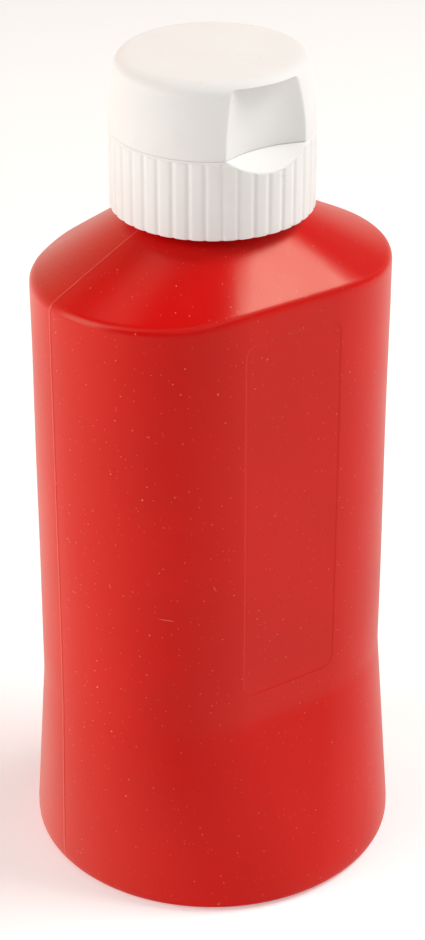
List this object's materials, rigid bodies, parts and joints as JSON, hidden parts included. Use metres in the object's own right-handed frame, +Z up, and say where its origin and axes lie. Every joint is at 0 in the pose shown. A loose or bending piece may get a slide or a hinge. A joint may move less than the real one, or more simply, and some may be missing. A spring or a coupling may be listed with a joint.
{
  "type": "squeeze bottle for ready-mixed paint",
  "caption": "Upright plastic squeeze bottle for paint with two flat label faces, a round flared base and a white flip-top screw closure.",
  "frame": {"origin": "centre of the round base, on the surface that the bottle stands on", "axes": "+Z up along the axis of the neck; -Y to the front, where the thumb notch and one flat label face are; the lid's hinge is at +Y; X along the longer width of the body, through the two mould parting lines"},
  "size_m": [0.064, 0.064, 0.1456],
  "materials": {
    "bottle_plastic": "satin, slightly translucent blown polyethylene",
    "paint": "wet, opaque liquid",
    "seal_foam": "matt foamed sheet",
    "closure_plastic": "fine satin moulded polypropylene"
  },
  "bodies": {
    "bottle_body": {"bottle": "bottle_plastic", "paint_fill": "paint"},
    "seal": {"seal_ring": "seal_foam"},
    "closure": {"closure_base": "closure_plastic", "hinge_web": "closure_plastic"},
    "lid": {"closure_lid": "closure_plastic"}
  },
  "joints": [
    {"name": "closure_lift", "type": "slide", "parent": "bottle_body", "child": "seal", "axis": [0, 0, 1], "range_m": [0, 0.00529]},
    {"name": "closure_turn", "type": "hinge", "parent": "seal", "child": "closure", "pos_m": [0, 0, 0.1303], "axis": [0, 0, 1], "range_deg": [0, 450]},
    {"name": "lid_hinge", "type": "hinge", "parent": "closure", "child": "lid", "pos_m": [0, 0.0169, 0.1334], "axis": [-1, 0, 0], "range_deg": [0, 150]}
  ],
  "couplings": [
    {"joint": "closure_lift", "follows": "closure_turn", "m_per_rad": 0.00067322}
  ]
}
